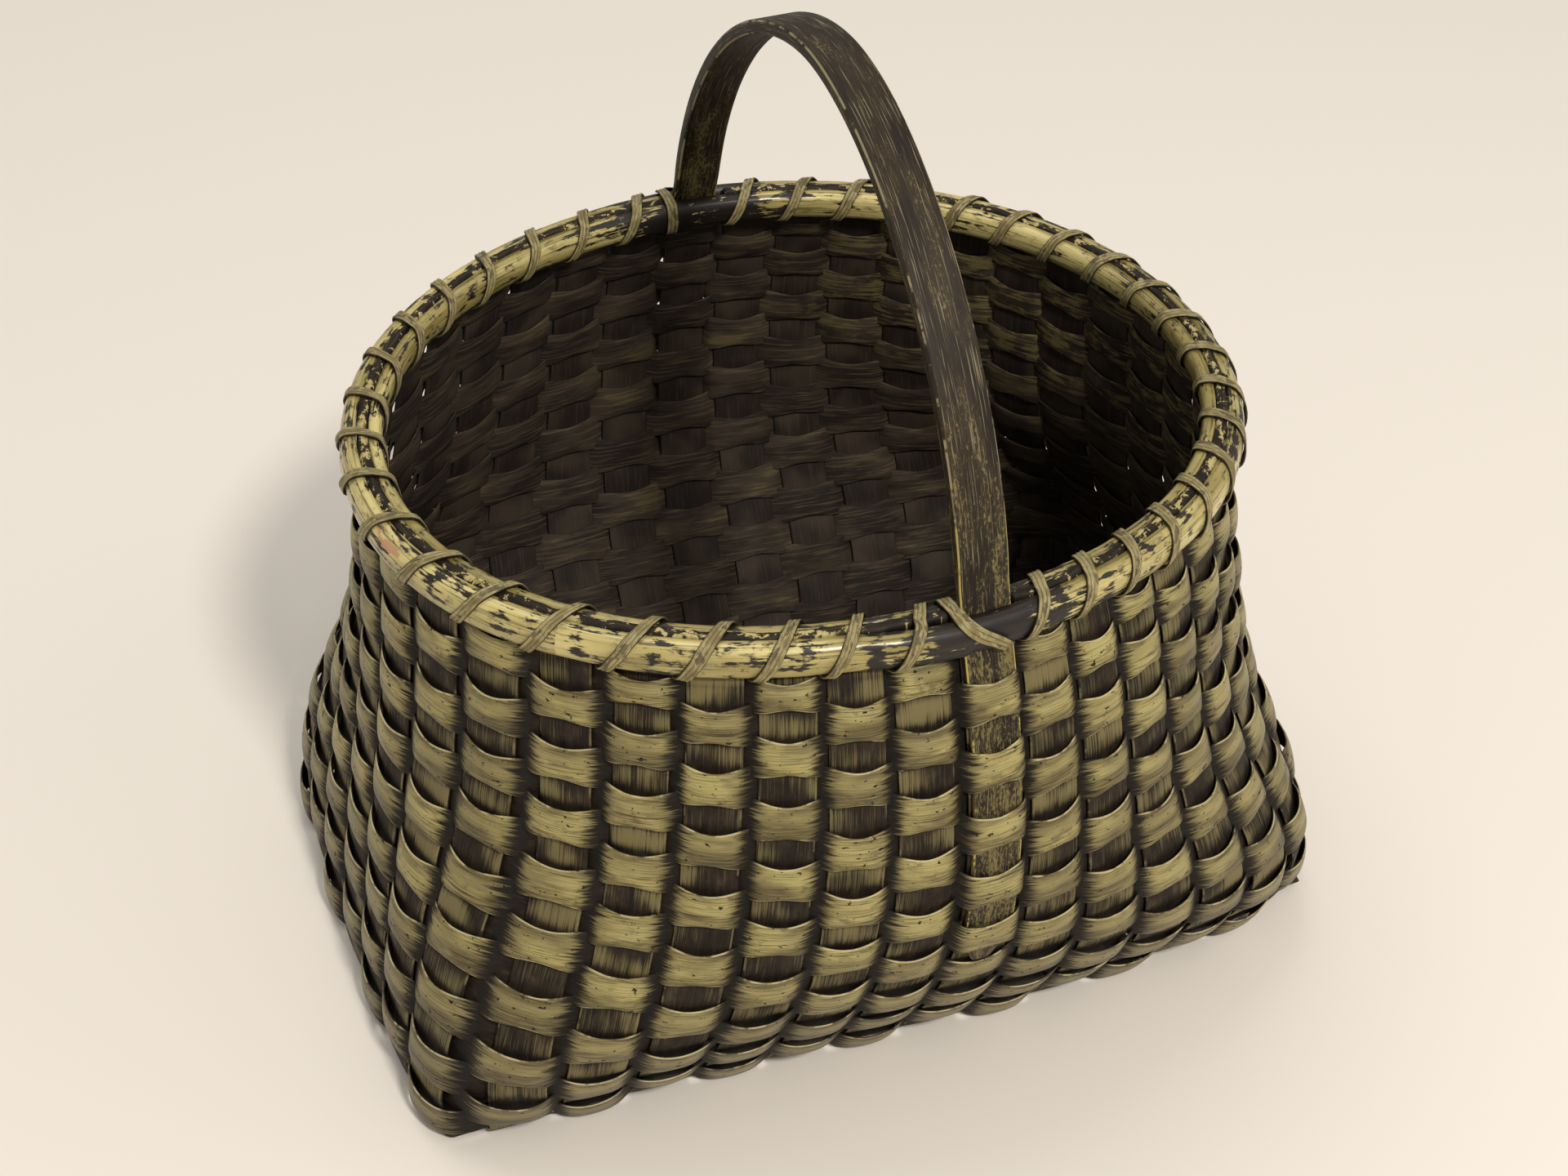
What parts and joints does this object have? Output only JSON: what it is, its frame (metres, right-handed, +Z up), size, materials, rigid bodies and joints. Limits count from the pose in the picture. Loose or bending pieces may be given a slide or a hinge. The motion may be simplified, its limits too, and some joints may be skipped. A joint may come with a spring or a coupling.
{
  "type": "woven market basket",
  "caption": "Splint-woven market basket with a rectangular woven bottom, bellied walls, an oval lashed rim and a fixed bent-wood hoop handle.",
  "frame": {"origin": "on the ground under the middle of the basket's outline", "axes": "+X along the long direction of the basket, +Y across it in the plane of the handle, +Z up"},
  "size_m": [0.4571, 0.3934, 0.4265],
  "materials": {
    "stake_splint": "flat splint, dark brown stain with dry-brushed olive paint, satin",
    "weaver_splint": "narrow splint, olive-gold paint worn over dark brown, satin",
    "rim_hoop": "half-round hoop, olive-gold paint worn over dark brown, semi-gloss",
    "rim_filler": "dark brown stain with worn gold edges, satin",
    "lashing": "narrow grooved splint, olive-gold paint, satin",
    "handle": "dark grey-brown stain with fine scratches and gold speckles, satin"
  },
  "bodies": {
    "root": {"cross_splint_01": "stake_splint", "cross_splint_02": "stake_splint", "cross_splint_03": "stake_splint", "cross_splint_04": "stake_splint", "cross_splint_05": "stake_splint", "cross_splint_06": "stake_splint", "cross_splint_07": "stake_splint", "cross_splint_08": "stake_splint", "cross_splint_09": "stake_splint", "cross_splint_10": "stake_splint", "cross_splint_11": "stake_splint", "cross_splint_12": "stake_splint", "cross_splint_13": "stake_splint", "long_splint_01": "stake_splint", "long_splint_02": "stake_splint", "long_splint_03": "stake_splint", "long_splint_04": "stake_splint", "long_splint_05": "stake_splint", "long_splint_06": "stake_splint", "long_splint_07": "stake_splint", "weaver_01": "weaver_splint", "weaver_02": "weaver_splint", "weaver_03": "weaver_splint", "weaver_04": "weaver_splint", "weaver_05": "weaver_splint", "weaver_06": "weaver_splint", "weaver_07": "weaver_splint", "weaver_08": "weaver_splint", "weaver_09": "weaver_splint", "weaver_10": "weaver_splint", "weaver_11": "weaver_splint", "weaver_12": "weaver_splint", "weaver_13": "weaver_splint", "weaver_14": "weaver_splint", "weaver_15": "weaver_splint", "weaver_16": "weaver_splint", "weaver_17": "weaver_splint", "rim_outer_hoop": "rim_hoop", "rim_inner_hoop": "rim_hoop", "rim_filler_left": "rim_filler", "rim_filler_right": "rim_filler", "handle": "handle", "handle_lashing": "lashing", "rim_lashing": "lashing"}
  },
  "joints": []
}
